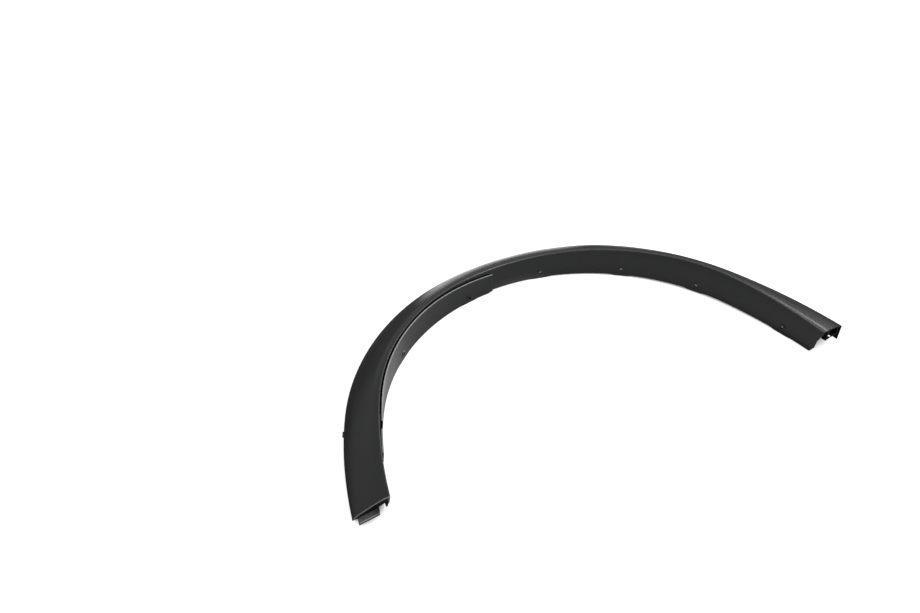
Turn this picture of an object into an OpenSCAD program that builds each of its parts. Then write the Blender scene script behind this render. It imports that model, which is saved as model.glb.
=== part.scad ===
// Wheel arch trim of a car, lying face up on the lower edge of its inner flange.
// The fold line runs between the inner flange (the side that faces the wheel)
// and the outer face. Places along the arch are given as the distance s along
// the fold line: 0 over the wheel, positive down the left leg (towards -X) and
// negative down the right leg (towards +X). Across the arch, n is the distance
// outwards from the fold line.

/* [Arch line] */
// Radius of the fold line over the wheel
crown_r = 420; // [380:1:460]
// Half of the angle that the round crown covers, in degrees
crown_half_angle = 66; // [60:1:70]
// Radius of the straighter fold line down each leg
leg_r = 845; // [700:5:1000]
// Length of the fold line down the left leg
left_leg_len = 211; // [180:1:240]
// Length of the fold line down the right leg
right_leg_len = 215; // [190:1:240]

/* [Section, at seven even steps from the right end to the left end] */
// Height of the fold line
fold_h = [56, 71, 65, 56, 59, 60, 46]; // [44:1:80]
// Width of the outer face
face_w = [61, 64, 58, 43, 57, 65, 64]; // [40:1:80]
// How far the outer face falls from the fold line to the outer edge
face_drop = [12, 36, 29, 18, 33, 46, 37]; // [10:1:50]
// Width of the flatter band beside the fold line
band_w = [24, 15, 12, 11, 11, 12, 12]; // [8:1:26]
// Height of the lip's lower edge
lip_low = [10, 9, 8, 7, 6, 5, 5]; // [4:1:10]
// How far the flange leans in towards the wheel at its lower edge
flange_lean = [5, 5, 5, 4, 1, -3, -6]; // [-6:1:6]
// Height of the flange's lower edge between the lugs
edge_lift = [1, 5, 4, 2, 2, 2, 2]; // [1:0.5:6]

/* [Walls] */
// Wall thickness of the face and the flange
wall_t = 2.8; // [2.4:0.1:3.4]
// Wall thickness of the outer lip
lip_t = 2.4; // [2:0.1:3]
// How much of the face's slope the band beside the fold keeps
band_slope = 0.45; // [0.3:0.05:0.9]
// How far the face bulges between the band and the outer edge
face_bulge = 1.6; // [0:0.1:3]
// Rounding of the fold
fold_r = 1.8; // [1:0.1:2.5]
// Rounding of the outer edge
edge_r = 2; // [1:0.1:2.5]

/* [Screw lugs in the flange] */
// Places of the screw holes along the fold line
screw_s = [-617, -420, -257, -78, 102, 323]; // [-640:1:640]
// Heights of the screw holes, in the same order
screw_z = [15.5, 18, 17.5, 15, 11.5, 14]; // [10:0.5:20]
// Diameter of the screw holes
screw_d = 6.5; // [5:0.1:7.5]
// Diameter of the raised seat round a screw hole
seat_d = 14; // [11:0.5:17]
// Height of the raised seat
seat_h = 1; // [0.6:0.1:1.6]
// How far a lug reaches below the rest of the flange
lug_drop = 2; // [1:0.1:4]
// Length of a lug along the edge
lug_len = 50; // [40:1:70]

/* [Ends] */
// Length of flange cut away at the right end
right_cut_len = 14; // [10:1:30]
// Length of flange cut away at the left end
left_cut_len = 37; // [20:1:45]
// Height of the wall that closes the left end
end_wall_h = 8; // [5:0.5:9]
// How far the tongue reaches past the left end
tongue_len = 12; // [9:0.5:18]
// Width of the tongue
tongue_w = 35; // [28:1:38]
// Distance of the tongue from the fold line
tongue_n = 20; // [18:1:23]
// Height of the tongue's underside at its outer edge
tongue_z = 5; // [4:0.5:6]
// How far the tongue rises towards the fold line
tongue_rise = 15; // [12:0.5:16]
// Height of the upstand along the tongue's inner edge
upstand_h = 8; // [5:0.5:9]
// Thickness of the tongue, of the end bracket and of the clip towers
plate_t = 2.2; // [1.8:0.1:2.6]
// Width of the bracket under the right end
bracket_w = 34; // [28:1:38]
// Length of the bracket along the leg
bracket_len = 10; // [8:0.5:14]
// Height of the bracket's underside
bracket_z = 26; // [22:0.5:30]
// Distance of the bracket from the fold line
bracket_n = 17; // [14:0.5:20]
// How far the locating tab stands out past the outer edge
tab_out = 2.5; // [1.5:0.1:4]
// Length of the locating tab
tab_len = 11; // [8:0.5:16]
// Place of the locating tab along the fold line
tab_s = 525; // [500:1:560]

/* [Ribs and clips behind the face] */
// Places of the clip towers along the fold line
tower_s = [-600, -470, -330, -165, 0, 165, 330, 480, 630]; // [-640:1:650]
// Width of a clip tower along the arch
tower_len = 24; // [20:1:30]
// Depth of a clip tower across the arch
tower_w = 22; // [20:1:26]
// Height of the plate that a clip hangs in
tower_z = 17; // [15:0.5:19]
// Thickness of the stiffening ribs
rib_t = 1.6; // [1.2:0.1:2.2]
// Depth of the ribs below the outer side of the face
rib_h = 14; // [9:0.5:18]
// Distance of the ribs on either side of a clip tower
rib_step = 48; // [30:1:60]
// Diameter of the clip's neck
clip_neck_d = 7; // [6:0.1:8]
// Diameter of the clip's upper and lower plates
clip_plate_d = 16; // [14:0.5:18]
// Thickness of the clip's plates
clip_plate_t = 1.6; // [1.2:0.1:2]
// Length of the clip's shank below its lower plate
clip_shank_len = 10; // [7:0.5:11]

/* [Liner strip on the flange] */
// Where the strip starts
strip_from = 40; // [20:1:80]
// Where the strip's upper part ends
strip_to = 531; // [500:1:560]
// Where the strip's lower tail ends
strip_tail_to = 588; // [565:1:610]
// Height of the tail
strip_tail_h = 27; // [20:1:32]
// Length of the chamfer at the strip's upper far corner
strip_chamfer = 34; // [15:1:45]
// Thickness of the strip
strip_t = 2.6; // [2:0.1:3.4]
// How far the strip stands off the flange
strip_gap = 3.4; // [2.5:0.1:5]
// How far the strip's rim lies below the fold where the strip starts
strip_rim_start = 11; // [8:0.5:16]
// How far the strip's rim lies below the fold further on
strip_rim = 2.5; // [1.5:0.5:6]
// Clearance between seated parts
seat_gap = 0.3; // [0.2:0.05:0.5]

/* [Hidden] */
// Distance between neighbouring sections of the swept walls
ring_step = 12;
// How far joined solids reach into each other
sink = 1.2;
// How far a tower's cheeks stand out round the plate between them
cheek_rim = 0.8;
crown_len = crown_r * crown_half_angle * PI / 180;
s_left = crown_len + left_leg_len;
s_right = -(crown_len + right_leg_len);
// How much shorter a boss is for the lean of the flange behind it
boss_draft = 0.5;
// Thickness of the wall that closes the left end, and how far it lies inside the end
end_wall_t = 2.4;
end_wall_inset = 0.4;
// How far the end wall stops above the lip's lower edge, and the length of its level foot
end_wall_foot = 0.6;
end_wall_level = 12;
// How far the tongue reaches inside the left end, and the size of its beads
tongue_inside = 16;
bead = 1.6;
// How far a cutting cylinder or block runs past what it cuts
past = 1;
// Height of the locating tab
tab_h = 3;
// Clear length of the leg between the last rib and the tongue or the bracket
rib_clear_left = 25;
rib_clear_right = 10;
// Length of the notch at the strip's start, and its rest height above the floor
notch_len = 9;
strip_edge = 1.5;
// Length over which the notch slopes up
notch_slope = 0.5;
// Strip's tail: the step down to it, then the lengths and the drops of its rounded end
tail_step = 3;
tail_round = 7;
tail_tip = 2;
tail_shoulder = 3;
tail_drop = 9;
// Height of the foot that carries the strip on the flange
strip_foot = 3;
// Length over which the strip's rim rises to its place beside the fold
rim_closes = 250;
trim_black = [0.13, 0.13, 0.14];
strip_black = [0.17, 0.17, 0.18];
clip_white = [0.82, 0.81, 0.78];

// Direction of the arch at s, in degrees from the top, positive to the left.
function turn(s) = sign(s) * (abs(s) <= crown_len ? abs(s) / crown_r * 180 / PI
    : crown_half_angle + (abs(s) - crown_len) / leg_r * 180 / PI);
// Place of the fold line at s, seen from above, from the middle of the crown's circle.
function on_crown(a) = crown_r * [-sin(a), cos(a)];
function on_leg(a, side) = on_crown(side * crown_half_angle)
    + leg_r * [side * sin(crown_half_angle), -cos(crown_half_angle)]
    + leg_r * [-side * sin(abs(a)), cos(a)];
function fold_line(s) = abs(s) <= crown_len ? on_crown(turn(s)) : on_leg(turn(s), sign(s));
function outwards(s) = [-sin(turn(s)), cos(turn(s))];
function seen_from_above(s, n) = fold_line(s) + n * outwards(s);

// Smooth curve through the values at evenly spaced stations.
function station(v, i) = i < 0 ? 2 * v[0] - v[1]
    : i >= len(v) ? 2 * v[len(v) - 1] - v[len(v) - 2] : v[i];
function cubic(a, b, c, d, f) = 0.5 * (2 * b + (c - a) * f
    + (2 * a - 5 * b + 4 * c - d) * f * f + (3 * b - a - 3 * c + d) * f * f * f);
function along(v, s) =
    let (t = (s - s_right) / (s_left - s_right) * (len(v) - 1),
         i = min(len(v) - 2, max(0, floor(t))))
    cubic(station(v, i - 1), station(v, i), station(v, i + 1), station(v, i + 2), t - i);

// Height of the outer side of the face at n, from the fold to the outer edge.
function band_end(s) = along(fold_h, s)
    - along(face_drop, s) * along(band_w, s) / along(face_w, s) * band_slope;
function face_part(s, n) = (n - along(band_w, s)) / (along(face_w, s) - along(band_w, s));
function face_z(s, n) = n <= along(band_w, s)
    ? along(fold_h, s) + (band_end(s) - along(fold_h, s)) * n / along(band_w, s)
    : let (f = face_part(s, n), low = along(fold_h, s) - along(face_drop, s))
      band_end(s) + (low - band_end(s)) * f + 4 * face_bulge * f * (1 - f);
// Wall thickness measured straight down through the sloping face.
function face_t(s) = wall_t * sqrt(1 + pow(along(face_drop, s) / along(face_w, s), 2));
function under_face(s, n) = face_z(s, n) - face_t(s);

// Height of the flange's lower edge from each end, as shares of the fold's height:
// a stub under the face, a hooked corner, and a slope down to the full depth.
right_cut = [[0, 0.87], [right_cut_len * 0.5, 0.52], [right_cut_len * 0.58, 0.2], [right_cut_len, 0]];
left_cut = [[0, 0.66], [left_cut_len * 0.14, 0.46], [left_cut_len * 0.22, 0.22], [left_cut_len, 0]];
function cut_low(s) = along(fold_h, s)
    * (s < 0 ? lookup(s - s_right, right_cut) : lookup(s_left - s, left_cut));
// Lower edge of the flange, which dips at the lugs. The lugs have sloping sides.
function lug_part(s) = max(0, max([for (c = screw_s)
    1 - max(0, (abs(s - c) - lug_len / 4) / (lug_len / 4))]));
function flange_low(s) = max(cut_low(s), along(edge_lift, s) - lug_drop * lug_part(s), 0);
// The wheel side of the flange at height z.
function flange_n(s, z) = -along(flange_lean, s) * (1 - z / along(fold_h, s));

// The closed section of the moulding at s, as [n, z] points.
function outer_side(s) =
    let (h = along(fold_h, s), w = along(face_w, s), b = along(band_w, s), soft = b / 3)
    concat([[flange_n(s, flange_low(s)), flange_low(s)], [0, h - fold_r]],
        [for (a = [45, 0]) [fold_r * (1 - sin(a)), h - fold_r * (1 - cos(a))]],
        [for (n = [b - soft, b, b + soft]) [n, face_z(s, n) - (n == b ? soft / 40 : 0)]],
        [for (f = [0.45, 0.7]) [b + (w - b) * f, face_z(s, b + (w - b) * f)]],
        [[w - edge_r, face_z(s, w - edge_r)],
         [w - edge_r * 0.3, face_z(s, w) - edge_r * 0.15],
         [w, face_z(s, w) - edge_r * 0.9]],
        [[w, along(lip_low, s)]]);
function inner_side(s) =
    let (w = along(face_w, s), b = along(band_w, s), in_w = w - lip_t)
    concat([[in_w, along(lip_low, s)], [in_w, under_face(s, in_w)]],
        [for (f = [0.7, 0.3]) [b + (w - b) * f, under_face(s, b + (w - b) * f)]],
        [[b, under_face(s, b)], [wall_t, under_face(s, wall_t)],
         [flange_n(s, flange_low(s)) + wall_t, flange_low(s)]]);
function section(s) = concat(outer_side(s), inner_side(s));
// The same section cut into convex pieces: the flange, the fold, the band, three parts of
// the face, the outer edge and the lip.
section_pieces = [[0, 1, 18, 19], [1, 2, 3, 18], [3, 4, 5, 17, 18], [5, 6, 7, 16, 17],
    [7, 8, 15, 16], [8, 9, 14, 15], [9, 10, 11, 14], [11, 12, 13, 14]];

function in_space(s, p) = [seen_from_above(s, p[0])[0], seen_from_above(s, p[0])[1], p[1]];
function steps(from, to) = let (count = ceil((to - from) / ring_step))
    [for (i = [0 : count]) from + (to - from) * i / count];
function in_order(v) = len(v) < 2 ? v
    : concat(in_order([for (x = v) if (x < v[0]) x]), [v[0]], in_order([for (x = v) if (x > v[0]) x]));
// Places of the sections: one at each corner of an edge, and even steps between them.
function rings(from, to, corners) =
    let (k = in_order(concat([from, to], [for (c = corners) if (c > from && c < to) c])))
    concat([from], [for (i = [0 : len(k) - 2]) each
        let (part = steps(k[i], k[i + 1])) [for (j = [1 : len(part) - 1]) part[j]]]);
moulding_corners = concat([for (c = right_cut) s_right + c[0]], [for (c = left_cut) s_left - c[0]],
    [for (s = screw_s, d = [-0.5, -0.25, 0.25, 0.5]) s + d * lug_len]);

// The model is centred on its own plan: these are the ends of its box.
onwards = [-cos(turn(s_left)), -sin(turn(s_left))];
tongue_tip = [for (n = [tongue_n, tongue_n + tongue_w]) seen_from_above(s_left, n) + tongue_len * onwards];
leg_feet = concat(tongue_tip, [for (n = [0, along(face_w, s_left)]) seen_from_above(s_left, n)],
    [for (n = [0, along(face_w, s_right)]) seen_from_above(s_right, n)]);
outer_line = [for (s = steps(s_right, s_left)) seen_from_above(s, along(face_w, s))];
x_low = min([for (p = outer_line) p[0]]);
x_high = max([for (p = outer_line) p[0]]);
y_low = min([for (p = leg_feet) p[1]]);
y_high = max([for (p = outer_line) p[1]]);
centre = [(x_low + x_high) / 2, (y_low + y_high) / 2, 0];

// Closed wall swept through a list of sections that all have as many points. Each end is
// closed by convex pieces, given as lists of the section's point numbers.
module swept(sections, end_pieces) {
    rings = len(sections);
    m = len(sections[0]);
    points = [for (r = sections) each r];
    sides = [for (i = [0 : rings - 2], j = [0 : m - 1])
        let (k = (j + 1) % m) each [
            [i * m + j, (i + 1) * m + j, i * m + k],
            [(i + 1) * m + j, (i + 1) * m + k, i * m + k]]];
    far_pieces = [for (piece = end_pieces)
        [for (j = [len(piece) - 1 : -1 : 0]) (rings - 1) * m + piece[j]]];
    polyhedron(points, concat(end_pieces, sides, far_pieces));
}

// Puts a child at s: its X runs outwards, its Y on along the arch, its Z up.
module at_arch(s, n = 0, z = 0) {
    translate([fold_line(s)[0], fold_line(s)[1], z]) rotate([0, 0, turn(s) + 90])
        translate([n, 0, 0]) children();
}

// Upright plate across the arch, with its outline given as [n, z] points.
module cross_plate(s, thickness, outline) {
    at_arch(s) rotate([90, 0, 0]) linear_extrude(thickness, center = true) polygon(outline);
}

// Line just inside the underside of the face.
function under_line(s, n_from, n_to) =
    [for (i = [0 : 6]) let (n = n_from + (n_to - n_from) * i / 6) [n, under_face(s, n) + sink]];
// Outline of a plate that hangs from the underside of the face.
function hanging(s, n_from, n_to, z_from, z_to) = concat(
    under_line(s, n_from, n_to), [[n_to, z_to], [n_from, z_from]]);

module rib(s) {
    w = along(face_w, s);
    cross_plate(s, rib_t, hanging(s, wall_t - sink, w - lip_t + sink,
        along(fold_h, s) - rib_h * 1.6, max(along(lip_low, s) + 1, face_z(s, w) - rib_h / 2)));
}

// Two cheeks under the face that carry a plate with a keyhole slot for a clip.
function tower_n(s) = along(face_w, s) / 2;
module tower(s) {
    from = tower_n(s) - tower_w / 2;
    to = tower_n(s) + tower_w / 2;
    for (side = [-1, 1]) at_arch(s) translate([0, side * (tower_len - plate_t) / 2, 0])
        rotate([90, 0, 0]) linear_extrude(plate_t, center = true)
            polygon(hanging(s, from, to, tower_z - cheek_rim, tower_z - cheek_rim));
    difference() {
        at_arch(s, from + cheek_rim, tower_z) translate([0, -tower_len / 2 + plate_t / 2, 0])
            cube([tower_w - 2 * cheek_rim, tower_len - plate_t, plate_t]);
        at_arch(s, tower_n(s), tower_z - past) {
            cylinder(h = plate_t + 2 * past, d = clip_neck_d + 2 * seat_gap, $fn = 48);
            translate([0, -clip_neck_d / 2, 0]) cube([tower_w, clip_neck_d, plate_t + 2 * past]);
        }
    }
}

// Push-in clip: a plate above and below the tower's slot, and a barbed shank.
module clip(s) {
    top = plate_t + seat_gap + clip_plate_t;
    barb = 1.1;
    shank_r = 2.6;
    step = clip_shank_len / 5;
    foot = -clip_plate_t - seat_gap;
    at_arch(s, tower_n(s), tower_z) rotate_extrude($fn = 48) polygon(concat(
        [[0, foot - clip_shank_len], [shank_r - 1, foot - clip_shank_len]],
        [for (i = [4 : -1 : 1]) each [[shank_r + barb, foot - i * step], [shank_r, foot - i * step]]],
        [[shank_r, foot], [clip_plate_d / 2, foot], [clip_plate_d / 2, -seat_gap],
         [clip_neck_d / 2, -seat_gap], [clip_neck_d / 2, plate_t + seat_gap],
         [clip_plate_d / 2 - 1, plate_t + seat_gap], [clip_plate_d / 2 - 1, top], [0, top]]));
}

// Round bar or bore through the flange at height z, along the outward direction.
module through_flange(s, z, d, from, to) {
    at_arch(s, from, z) rotate([0, 90, 0]) cylinder(h = to - from, d = d, $fn = 48);
}
function on_strip(s) = s > strip_from && s < strip_to;
screws = [for (i = [0 : len(screw_s) - 1]) [screw_s[i], screw_z[i]]];
strip_screws = [for (c = screws) if (on_strip(c[0])) c];
bare_screws = [for (c = screws) if (!on_strip(c[0])) c];
function seat_n(c) = flange_n(c[0], c[1]);

// Wall that closes the left end, cut off on a slant below the face.
module end_wall() {
    to = along(face_w, s_left) - edge_r;
    foot = along(lip_low, s_left) + end_wall_foot;
    cross_plate(s_left - end_wall_t / 2 - end_wall_inset, end_wall_t, concat(
        under_line(s_left, wall_t, to),
        [[to, foot], [to - end_wall_level, foot],
         [wall_t, along(fold_h, s_left) - wall_t - end_wall_h]]));
}

// Height of the tongue's underside at n, which rises towards the fold line.
function tongue_low(n) = tongue_z + tongue_rise * (tongue_n + tongue_w - n) / tongue_w;
// Bar along the leg, from inside the left end to its far end, with the outline given.
module bar_past_end(from, to, outline) {
    at_arch(s_left) translate([0, to, 0]) rotate([90, 0, 0]) linear_extrude(to - from) polygon(outline);
}
function tongue_band(n_from, n_to, low, high) = [[n_from, tongue_low(n_from) + low],
    [n_to, tongue_low(n_to) + low], [n_to, tongue_low(n_to) + high], [n_from, tongue_low(n_from) + high]];

// Tongue past the left end, with its upstand, a bead across its tip and two gussets.
module tongue() {
    end_n = tongue_n + tongue_w;
    bar_past_end(-tongue_inside, tongue_len, concat(
        [for (n = [tongue_n, end_n]) [n, tongue_low(n)]],
        [for (n = [end_n, tongue_n + plate_t]) [n, tongue_low(n) + plate_t]],
        [for (n = [tongue_n + plate_t, tongue_n]) [n, tongue_low(n) + plate_t + upstand_h]]));
    bar_past_end(tongue_len - bead * 1.5, tongue_len - bead / 2,
        tongue_band(tongue_n + bead, end_n - bead, plate_t * 0.4, plate_t + bead / 2));
    for (n = [tongue_n + tongue_w / 2, end_n - bead - plate_t])
        at_arch(s_left) translate([0, -bead, 0]) rotate([90, 0, 0]) linear_extrude(tongue_inside - 3 * bead)
            polygon([[n, tongue_low(n) + plate_t * 0.6],
                [n + plate_t, tongue_low(n + plate_t) + plate_t * 0.6],
                [n + plate_t, under_face(s_left, n + plate_t) + sink / 2],
                [n, under_face(s_left, n) + sink / 2]]);
}

// Open box under the right end: two walls hung from the face and a floor.
module end_bracket() {
    s = s_right + bracket_len / 2;
    for (n = [bracket_n, bracket_n + bracket_w - plate_t])
        at_arch(s, n, bracket_z + plate_t / 2) translate([0, -bracket_len / 2, 0])
            cube([plate_t, bracket_len, under_face(s, n + plate_t) + sink / 2 - bracket_z - plate_t / 2]);
    difference() {
        at_arch(s, bracket_n - cheek_rim / 2, bracket_z) translate([0, -bracket_len / 2 + cheek_rim, 0])
            cube([bracket_w + cheek_rim, bracket_len - 2 * cheek_rim, plate_t]);
        at_arch(s, bracket_n + bracket_w / 2, bracket_z - 1)
            cylinder(h = plate_t + 2, d = screw_d, $fn = 48);
    }
}

// Tab on the lip's outer side that finds its place in the bumper's edge.
module locating_tab() {
    at_arch(tab_s, along(face_w, tab_s) - lip_t / 2, along(lip_low, tab_s))
        translate([0, -tab_len / 2, 0]) cube([lip_t / 2 + tab_out, tab_len, tab_h]);
}

rib_s = [for (c = tower_s, d = [-rib_step, rib_step])
    if (c + d > s_right + bracket_len + rib_clear_right && c + d < s_left - rib_clear_left) c + d];

module arch_moulding() {
    color(trim_black) translate(-centre) {
        difference() {
            swept([for (s = rings(s_right, s_left, moulding_corners))
                [for (p = section(s)) in_space(s, p)]], section_pieces);
            for (c = screws) through_flange(c[0], c[1], screw_d, seat_n(c) - 2, seat_n(c) + wall_t + 2);
        }
        for (c = bare_screws) difference() {
            through_flange(c[0], c[1], seat_d, seat_n(c) - seat_h, seat_n(c) + sink);
            through_flange(c[0], c[1], screw_d, seat_n(c) - seat_h - 1, seat_n(c) + sink + 1);
        }
        for (s = rib_s) rib(s);
        for (s = tower_s) tower(s);
        end_wall();
        tongue();
        end_bracket();
        locating_tab();
    }
}

// Strip rim: further below the fold at the start, then close beside it, and past the
// chamfered corner down to the tail.
function free_rim(s) = let (f = min(1, max(0, (s - strip_from) / rim_closes)))
    along(fold_h, s) - strip_rim - (strip_rim_start - strip_rim) * pow(1 - f, 1.5);
corner_h = free_rim(strip_to) - strip_chamfer / 3;
strip_rim_end = [[strip_to - strip_chamfer, free_rim(strip_to - strip_chamfer)], [strip_to, corner_h],
    [strip_to + tail_step, strip_tail_h], [strip_tail_to - tail_round, strip_tail_h],
    [strip_tail_to - tail_tip, strip_tail_h - tail_shoulder], [strip_tail_to, strip_tail_h - tail_drop]];
strip_corners = concat([for (c = strip_rim_end) c[0]],
    [strip_from + notch_len - notch_slope, strip_from + notch_len],
    [for (c = strip_screws, d = [-0.5, -0.25, 0.25, 0.5]) c[0] + d * lug_len]);
function rim_z(s) = s < strip_to - strip_chamfer ? free_rim(s) : lookup(s, strip_rim_end);
// The strip's lower edge has a notch at its start and dips at the screw lugs.
function strip_low(s) = s < strip_from + notch_len ? strip_edge + lug_drop : strip_edge * (1 - lug_part(s));
function strip_section(s) =
    let (low = strip_low(s), rim = rim_z(s), back = -strip_gap, front = -strip_gap - strip_t,
         foot = low + strip_foot)
    [[flange_n(s, low) + front, low], [flange_n(s, rim) + front, rim],
     [flange_n(s, rim) + back, rim], [flange_n(s, foot) + back, foot],
     [flange_n(s, foot) - seat_gap, foot], [flange_n(s, low) - seat_gap, low]];

module liner_strip() {
    color(strip_black) translate(-centre) difference() {
        union() {
            swept([for (s = rings(strip_from, strip_tail_to, strip_corners))
                [for (p = strip_section(s)) in_space(s, p)]], [[0, 1, 2, 3], [0, 3, 4, 5]]);
            for (c = strip_screws) {
                through_flange(c[0], c[1], seat_d, seat_n(c) - strip_gap - strip_t - seat_h,
                    seat_n(c) - strip_gap - strip_t + sink);
                through_flange(c[0], c[1], seat_d, seat_n(c) - strip_gap - sink,
                    seat_n(c) - seat_gap - boss_draft);
            }
        }
        for (c = strip_screws)
            through_flange(c[0], c[1], screw_d, seat_n(c) - strip_gap - strip_t - seat_h - 2, seat_n(c) + 2);
    }
}

module push_clips() {
    color(clip_white) translate(-centre) for (s = tower_s) clip(s);
}

arch_moulding();
liner_strip();
push_clips();
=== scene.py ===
# %% [markdown]
# Wheel arch trim
# A long curved moulding of black plastic that follows the wheel arch of a car. It lies
# face up on the lower edge of the flange that its screws go through. The solids come
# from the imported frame, so this lesson is about light, camera, smooth shading and
# the finish of moulded plastic.

# %% Load the frame
import math
import bpy
import bmesh
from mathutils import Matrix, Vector


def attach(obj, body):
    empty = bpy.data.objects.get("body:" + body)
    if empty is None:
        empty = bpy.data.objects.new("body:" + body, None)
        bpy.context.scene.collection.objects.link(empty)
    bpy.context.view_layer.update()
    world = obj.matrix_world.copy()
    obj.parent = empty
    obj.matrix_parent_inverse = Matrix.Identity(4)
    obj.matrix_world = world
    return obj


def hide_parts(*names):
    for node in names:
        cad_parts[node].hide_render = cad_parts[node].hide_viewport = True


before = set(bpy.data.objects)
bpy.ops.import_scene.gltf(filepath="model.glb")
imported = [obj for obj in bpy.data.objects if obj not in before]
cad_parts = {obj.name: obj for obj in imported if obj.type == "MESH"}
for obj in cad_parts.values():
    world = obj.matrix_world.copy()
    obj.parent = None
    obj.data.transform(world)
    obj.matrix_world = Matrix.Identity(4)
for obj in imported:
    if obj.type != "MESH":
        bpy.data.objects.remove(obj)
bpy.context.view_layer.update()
print("solids:", sorted(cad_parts))

# %% [markdown]
# The camera
# The view looks down on the trim from the wheel side, at a little under 40 degrees. A lens
# of 32.6 mm on a 36 mm wide sensor gives the same spread of near and far as the
# photograph, so the near leg looks as much larger than the far one as it does there.

# %% Camera
MM = 0.001
CAMERA_PLACE = Vector((-0.6937, -1.0290, 1.1106))
CAMERA_HEADING = Vector((0.4268, 0.9043, 0.0))
CAMERA_PITCH = math.radians(39.64)
SENSOR_WIDTH_MM = 36.0
LENS_MM = 32.56
SIGHT_REACH = 50.0

camera_data = bpy.data.cameras.new("photo_view")
camera_data.sensor_width = SENSOR_WIDTH_MM
camera_data.lens = LENS_MM
camera_data.clip_end = SIGHT_REACH
camera = bpy.data.objects.new("photo_view", camera_data)
bpy.context.collection.objects.link(camera)
level_part = CAMERA_HEADING.normalized() * math.cos(CAMERA_PITCH)
look = level_part - Vector((0, 0, math.sin(CAMERA_PITCH)))
camera.location = CAMERA_PLACE
camera.rotation_euler = look.to_track_quat("-Z", "Y").to_euler()
bpy.context.scene.camera = camera
bpy.context.scene.view_settings.view_transform = "Standard"
print("camera looks along", tuple(round(v, 3) for v in look))

# %% [markdown]
# A helper for materials
# A procedural material is a chain of nodes. One small function adds a node, sets its
# options and its inputs, and links what comes from other nodes, so that each material
# below reads as a short list. An input is named by its socket, with _ for a space, or by
# its number where sockets share a name. Colours are written as sRGB hex, the way a
# colour picker shows them, and turned to the linear values that light adds up in.

# %% Colour and node helpers
def linear(hex_colour):
    channels = [int(hex_colour[i:i + 2], 16) / 255 for i in (0, 2, 4)]
    opaque = (1.0,)
    return tuple(c / 12.92 if c <= 0.04045 else ((c + 0.055) / 1.055) ** 2.4
                 for c in channels) + opaque


def add_node(material, kind, options=None, **inputs):
    node = material.node_tree.nodes.new(kind)
    for name, value in (options or {}).items():
        setattr(node, name, value)
    for name, value in inputs.items():
        by_number = name[1:].isdigit()
        socket = node.inputs[int(name[1:]) if by_number else name.replace("_", " ")]
        if isinstance(value, bpy.types.NodeSocket):
            material.node_tree.links.new(value, socket)
        else:
            socket.default_value = value
    return node


def new_material(name):
    material = bpy.data.materials.new(name)
    material.use_nodes = True
    material.node_tree.nodes.clear()
    return material


def finish_material(material, surface):
    output = add_node(material, "ShaderNodeOutputMaterial")
    material.node_tree.links.new(surface, output.inputs["Surface"])
    return material

# %% [markdown]
# Moulded polypropylene
# Exterior trim of this kind is unpainted black polypropylene. The tool is spark eroded, so
# the surface has a fine even grain that spreads every reflection into a soft sheen. The
# grain of the real part is about a quarter of a millimetre, too fine for this view, so it
# is drawn at 0.9 mm to show close up. Slow changes in gloss come from the flow of the melt.
# No moulded edge is truly sharp, so each edge is shaded as if rounded by 1.3 mm, which
# lets it catch a thin line of light.

# %% A moulded plastic
EDGE_RADIUS = 1.3 * MM
EDGE_SAMPLES = 6
PLASTIC_IOR = 1.49
GRAIN_STRENGTH = 0.35
FLOW_LOW, FLOW_HIGH = 0.3, 0.7
GLOSSIER, DULLER = 0.04, 0.05


def moulded_plastic(name, colour, colour_high, roughness, grain_mm, grain_height_mm, flow_mm):
    material = new_material(name)
    place = add_node(material, "ShaderNodeTexCoord").outputs["Object"]
    grain = add_node(material, "ShaderNodeTexNoise", Vector=place,
                     Scale=1 / (grain_mm * MM), Detail=2.0, Roughness=0.55)
    flow = add_node(material, "ShaderNodeTexNoise", Vector=place,
                    Scale=1 / (flow_mm * MM), Detail=3.0, Roughness=0.5)
    gloss = add_node(material, "ShaderNodeMapRange", Value=flow.outputs["Fac"],
                     From_Min=FLOW_LOW, From_Max=FLOW_HIGH,
                     To_Min=roughness - GLOSSIER, To_Max=roughness + DULLER)
    tone = add_node(material, "ShaderNodeMix", {"data_type": "RGBA"}, _0=flow.outputs["Fac"],
                    _6=linear(colour), _7=linear(colour_high))
    rounded = add_node(material, "ShaderNodeBevel", {"samples": EDGE_SAMPLES},
                       Radius=EDGE_RADIUS)
    bump = add_node(material, "ShaderNodeBump", Height=grain.outputs["Fac"],
                    Strength=GRAIN_STRENGTH, Distance=grain_height_mm * MM,
                    Normal=rounded.outputs["Normal"])
    shader = add_node(material, "ShaderNodeBsdfPrincipled", Base_Color=tone.outputs[2],
                      Roughness=gloss.outputs["Result"], Normal=bump.outputs["Normal"],
                      IOR=PLASTIC_IOR)
    print(name, "roughness", roughness, "grain", grain_mm, "mm")
    return finish_material(material, shader.outputs["BSDF"])

# %% [markdown]
# Six finishes of moulded plastic
# One recipe serves every piece, because they differ only in colour, gloss and grain. Each
# has its two colours and its roughness, then in millimetres the grain's width, its
# height and the width of the slow changes. The comment over each says what it gives
# the eye.

# %% The finishes
# An even dark sheen, dull enough that no reflection has an edge.
satin_trim = moulded_plastic("black_polypropylene_spark_eroded",
                             "101112", "151617", 0.28, 0.9, 0.025, 60)
# A highlight painted on the fold in a lighter colour, sharper for less roughness and grain.
fold_painted_highlight = moulded_plastic("black_polypropylene_painted_highlight_on_the_fold",
                              "303132", "3e3f40", 0.24, 0.9, 0.01, 25)
# A grey colour painted on the tongue for the light that falls on it, shining at low
# roughness.
tongue_painted_lit_grey = moulded_plastic("black_polypropylene_tongue_in_painted_light",
                                "4a4a4a", "686867", 0.20, 0.9, 0.01, 6)
# A little duller than the trim, so that the strip reads as a piece of its own.
matte_liner = moulded_plastic("black_polypropylene_moulded_liner",
                              "101112", "161718", 0.31, 0.7, 0.03, 40)
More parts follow.
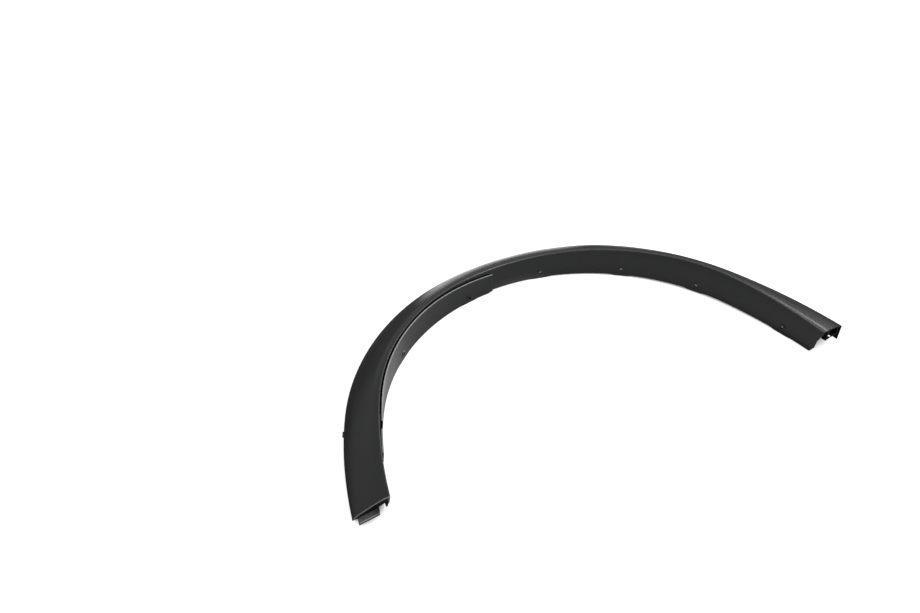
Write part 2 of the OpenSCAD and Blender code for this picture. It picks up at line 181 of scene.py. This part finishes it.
# A thin pale line, a highlight painted on narrow edges that catch the light.
pale_painted_highlight = moulded_plastic("black_polypropylene_painted_highlight_line",
                               "8c8c8b", "a2a2a0", 0.4, 0.5, 0.04, 12)
# Milky and soft, as nylon is without colour in it.
natural_nylon = moulded_plastic("natural_nylon_moulded_clip",
                                "c9c6ba", "d6d3c8", 0.42, 0.8, 0.02, 8)

# %% [markdown]
# Smooth surfaces from flat facets
# The solids reach this scene as loose triangles. A copy is merged into one skin,
# the gentle bends between neighbouring facets are shaded smooth, and edges that
# turn by more than a set angle stay crisp. The copy then stands for the solid.

# %% Merge, smooth and replace
CRISP_ANGLE = math.radians(52)
MERGE_DISTANCE = 0.002 * MM


def smooth_piece(node_name, piece_name, materials, finish_of=lambda face: 0):
    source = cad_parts[node_name]
    mesh = bpy.data.meshes.new(piece_name)
    bm = bmesh.new()
    bm.from_mesh(source.data)
    bmesh.ops.remove_doubles(bm, verts=bm.verts, dist=MERGE_DISTANCE)
    bmesh.ops.dissolve_degenerate(bm, edges=bm.edges, dist=MERGE_DISTANCE)
    for face in bm.faces:
        face.smooth = True
        face.material_index = finish_of(face)
    for edge in bm.edges:
        edge.smooth = len(edge.link_faces) == 2 and edge.calc_face_angle(0) < CRISP_ANGLE
    open_edges = sum(1 for edge in bm.edges if len(edge.link_faces) != 2)
    counts = [sum(1 for face in bm.faces if face.material_index == i)
              for i in range(len(materials))]
    bm.to_mesh(mesh)
    bm.free()
    piece = bpy.data.objects.new(piece_name, mesh)
    bpy.context.collection.objects.link(piece)
    for material in materials:
        mesh.materials.append(material)
    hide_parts(node_name)
    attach(piece, "root")
    print(piece_name, "faces of each finish", counts, "open edges", open_edges)
    return piece

# %% [markdown]
# The painted highlight on the fold
# The narrow facets of the sharp fold get a smoother finish and a lighter colour, a painted
# highlight along the fold. They are found by their direction: they look up and in towards
# the wheel, where the face looks up and outwards.

# %% Facets of the fold
ARCH_MIDDLE = Vector((0.0011, -0.2120, 0.0))
FOLD_HEIGHT = 35 * MM
FOLD_LEAN = 0.25


# The facets found here get the highlight painted on the fold.
def on_fold(face):
    place = face.calc_center_median()
    inwards = (ARCH_MIDDLE - place).to_2d().normalized()
    lean = face.normal.to_2d().dot(inwards)
    return place.z > FOLD_HEIGHT and lean > FOLD_LEAN and face.normal.z > FOLD_LEAN

# %% [markdown]
# The left end
# The tongue slides under the next panel. It is painted a lit grey and given a low
# roughness, and the bead across it and the end face of the moulding get a pale painted
# highlight. A facet belongs to the end, the tongue or the bead by how far past the end it
# lies, how far above the tongue's plane, and where it looks.

# %% Facets of the left end
LEFT_END_OUTWARDS = Vector((-0.17, -0.985, 0.0))
LEFT_END_REACH = 314.6 * MM
OTHER_HALF = -1.0  # the right half counts as a metre short of the left end
END_FACE_DEPTH = 0.5 * MM
LIP_HEIGHT = 10 * MM
TONGUE_TOP = Vector((-0.39, 0.07, 0.92))
TONGUE_LEVEL = 184.4 * MM
TONGUE_DEPTH = 4 * MM
TONGUE_HIDDEN_LENGTH = 15 * MM
TONGUE_HEIGHT = 28 * MM
BEAD_LEVEL = 0.2 * MM
BEAD_START = 8 * MM
LOOKS_UP = 0.3
LOOKS_OUT = 0.95


def past_left_end(place):
    return place.dot(LEFT_END_OUTWARDS) - LEFT_END_REACH if place.x < 0 else OTHER_HALF


def above_tongue(place):
    return place.dot(TONGUE_TOP) - TONGUE_LEVEL


def looks_out(face):
    return face.normal.dot(LEFT_END_OUTWARDS) > LOOKS_OUT


# The facets found here are painted a lit grey.
def on_tongue(face):
    place = face.calc_center_median()
    along = past_left_end(place) > -TONGUE_HIDDEN_LENGTH
    return along and face.normal.z > LOOKS_UP and abs(above_tongue(place)) < TONGUE_DEPTH


def on_bead(face):
    place = face.calc_center_median()
    along = past_left_end(place) > BEAD_START
    in_sight = face.normal.z > LOOKS_UP or looks_out(face)
    return along and in_sight and above_tongue(place) > BEAD_LEVEL and place.z < TONGUE_HEIGHT


def on_left_end_face(face):
    place = face.calc_center_median()
    in_plane = abs(past_left_end(place)) < END_FACE_DEPTH
    return in_plane and looks_out(face) and place.z > LIP_HEIGHT

# %% [markdown]
# The moulding, the strip and the clips
# Each solid becomes one smooth piece, and every facet of it is given one finish of the
# piece's list. The strip's free rim gets the pale finish on its narrow top, a painted
# highlight that reads as a thin line of light along the groove.

# %% The three pieces
SATIN, FOLD_HIGHLIGHT, LIT_TONGUE, HIGHLIGHT_LINE = range(4)
MATTE, RIM_HIGHLIGHT = range(2)
RIM_HEIGHT = 20 * MM
RIM_LOOKS_UP = 0.8


# The left end face and the bead get the pale painted highlight.
def moulding_finish(face):
    if on_left_end_face(face) or on_bead(face):
        return HIGHLIGHT_LINE
    return LIT_TONGUE if on_tongue(face) else FOLD_HIGHLIGHT if on_fold(face) else SATIN


# The narrow top of the strip's rim gets the pale painted highlight.
def liner_finish(face):
    on_rim = face.normal.z > RIM_LOOKS_UP and face.calc_center_median().z > RIM_HEIGHT
    return RIM_HIGHLIGHT if on_rim else MATTE


trim_piece = smooth_piece("arch_moulding", "trim_moulding",
                          [satin_trim, fold_painted_highlight, tongue_painted_lit_grey, pale_painted_highlight],
                          moulding_finish)
liner_piece = smooth_piece("liner_strip", "liner_on_flange",
                           [matte_liner, pale_painted_highlight], liner_finish)
clip_piece = smooth_piece("push_clips", "clips_behind_face", [natural_nylon])

# %% [markdown]
# The paper floor
# A dark satin part shows its form only through what it reflects. The camera sees white
# paper with a faint shadow, and painted shade darkens its glow where the part shuts the
# light out, behind its holes. Reflections see painted reflections on the same paper: light
# grey inside the arch and darker outside it, and glowing patches, faint in the hollow of
# the left leg and behind the right shoulder, and bright behind the crown, where the far
# edge of the face fades to light.

# %% A soft round patch on the floor
def round_patch(material, place, middle, radius, fade):
    """1 inside the patch, falling to 0 at its radius over a share `fade` of it."""
    mapped = add_node(material, "ShaderNodeMapping", {"vector_type": "TEXTURE"}, Vector=place,
                      Location=middle, Scale=(radius, radius, radius))
    fall = add_node(material, "ShaderNodeTexGradient", {"gradient_type": "SPHERICAL"},
                    Vector=mapped.outputs["Vector"])
    edge = add_node(material, "ShaderNodeMapRange", {"interpolation_type": "SMOOTHSTEP"},
                    Value=fall.outputs["Fac"], From_Min=0.0, From_Max=fade)
    return edge.outputs["Result"]

# %% White seamless paper
SEEN_PAPER, SEEN_GLOW = 0.55, 0.76
OUTSIDE_TONE, INSIDE_TONE = 0.12, 0.54
ARCH_RADIUS, ARCH_FADE = 0.47, 0.15
# Each glowing patch is a painted reflection, with its middle, its radius, its fade and its
# glow.
HOLLOW_OF_LEFT_LEG = ((-0.26, -0.03, 0.0), 0.16, 0.6, 0.3)
BEHIND_CROWN = ((0.05, 0.42, 0.0), 0.26, 0.35, 1.6)
BEHIND_RIGHT_SHOULDER = ((0.33, 0.21, 0.0), 0.11, 0.6, 0.5)
SHELTER_REACH, SHELTER_SAMPLES = 0.09, 8
SHELTERED, OPEN = 0.20, 0.45
SHELTERED_GLOW = 0.2

paper = new_material("white_seamless_paper")
seen = add_node(paper, "ShaderNodeLightPath").outputs["Is Camera Ray"]
floor_place = add_node(paper, "ShaderNodeTexCoord").outputs["Object"]
inside = round_patch(paper, floor_place, ARCH_MIDDLE, ARCH_RADIUS, ARCH_FADE)
reflected_tone = add_node(paper, "ShaderNodeMix", _0=inside, _2=OUTSIDE_TONE,
                          _3=INSIDE_TONE).outputs[0]
reflected_glow = 0.0
for middle, radius, fade, patch_glow in (HOLLOW_OF_LEFT_LEG, BEHIND_CROWN,
                                         BEHIND_RIGHT_SHOULDER):
    patch = round_patch(paper, floor_place, middle, radius, fade)
    reflected_glow = add_node(paper, "ShaderNodeMix", _0=patch, _2=reflected_glow,
                              _3=patch_glow).outputs[0]
tone = add_node(paper, "ShaderNodeMix", _0=seen, _2=reflected_tone, _3=SEEN_PAPER).outputs[0]
glow_level = add_node(paper, "ShaderNodeMix", _0=seen, _2=reflected_glow,
                      _3=SEEN_GLOW).outputs[0]
# The Ambient Occlusion node paints shade into the paper's glow near the part and in its
# hollows.
shelter = add_node(paper, "ShaderNodeAmbientOcclusion", {"samples": SHELTER_SAMPLES},
                   Distance=SHELTER_REACH)
glow_left_by_painted_shade = add_node(paper, "ShaderNodeMapRange", {"interpolation_type": "SMOOTHSTEP"},
                    Value=shelter.outputs["AO"], From_Min=SHELTERED, From_Max=OPEN,
                    To_Min=SHELTERED_GLOW)
sheet_of_paper = add_node(paper, "ShaderNodeBsdfDiffuse", Color=tone)
glow = add_node(paper, "ShaderNodeEmission", Color=glow_left_by_painted_shade.outputs["Result"],
                Strength=glow_level)
together = add_node(paper, "ShaderNodeAddShader", _0=sheet_of_paper.outputs[0],
                    _1=glow.outputs[0])
finish_material(paper, together.outputs[0])
print("paper has", len(paper.node_tree.nodes), "nodes")

# %% The floor
FLOOR_SIZE = 30.0

floor_mesh = bpy.data.meshes.new("paper_floor")
floor_bm = bmesh.new()
bmesh.ops.create_grid(floor_bm, x_segments=1, y_segments=1, size=FLOOR_SIZE / 2)
floor_bm.to_mesh(floor_mesh)
floor_bm.free()
floor = bpy.data.objects.new("paper_floor", floor_mesh)
bpy.context.collection.objects.link(floor)
floor_mesh.materials.append(paper)
print("floor", FLOOR_SIZE, "m wide")

# %% [markdown]
# The sky
# The camera sees a white room. Everything else sees a sky that is dim at the horizon and
# soon grows lighter above it, as walls and ceiling do round a studio table. That keeps the
# face dark where it mirrors the horizon, and grey where it looks higher.

# %% White room
HORIZON_LEVEL, SKY_LEVEL, SEEN_LEVEL = 0.10, 0.60, 1.0
SKY_FULL_AT = 0.18

world = bpy.data.worlds.new("white_room")
bpy.context.scene.world = world
world.use_nodes = True
room = world.node_tree.nodes["Background"]
looked_at = add_node(world, "ShaderNodeLightPath").outputs["Is Camera Ray"]
direction = add_node(world, "ShaderNodeTexCoord").outputs["Generated"]
height = add_node(world, "ShaderNodeSeparateXYZ", Vector=direction).outputs["Z"]
sky = add_node(world, "ShaderNodeMapRange", Value=height, From_Min=0.0, From_Max=SKY_FULL_AT,
               To_Min=HORIZON_LEVEL, To_Max=SKY_LEVEL)
level = add_node(world, "ShaderNodeMix", _0=looked_at, _2=sky.outputs["Result"],
                 _3=SEEN_LEVEL).outputs[0]
room.inputs["Color"].default_value = (1, 1, 1, 1)
world.node_tree.links.new(level, room.inputs["Strength"])
print("sky from", HORIZON_LEVEL, "to", SKY_LEVEL)

# %% [markdown]
# The lamps
# A small lamp low on the right lights the band at the right end. A wide one overhead and
# one at the front right draw the thin line along the fold over the wheel. Brightness is
# given for each square metre and the watts follow from the size, so that a lamp can be
# made larger without a change of its glare.

# %% Soft boxes
def soft_lamp(name, azimuth, elevation, distance, size, brightness):
    turn, rise = math.radians(azimuth), math.radians(elevation)
    place = distance * Vector((math.sin(turn) * math.cos(rise),
                               math.cos(turn) * math.cos(rise),
                               math.sin(rise)))
    width, length = size
    lamp_data = bpy.data.lights.new(name, "AREA")
    lamp_data.shape = "RECTANGLE"
    lamp_data.size, lamp_data.size_y = width, length
    lamp_data.energy = brightness * math.pi * width * length
    lamp = bpy.data.objects.new(name, lamp_data)
    lamp.location = place
    lamp.rotation_euler = (-place).to_track_quat("-Z", "Y").to_euler()
    lamp.visible_camera = False
    bpy.context.collection.objects.link(lamp)
    print(name, "watts", round(lamp_data.energy, 1))


soft_lamp("right_end_softbox", azimuth=74, elevation=34, distance=2.4, size=(0.5, 0.35),
          brightness=7.5)
soft_lamp("overhead_softbox", azimuth=95, elevation=66, distance=2.4, size=(2.0, 0.9),
          brightness=3.4)
soft_lamp("front_right_softbox", azimuth=138, elevation=42, distance=2.6, size=(1.0, 0.8),
          brightness=11.0)
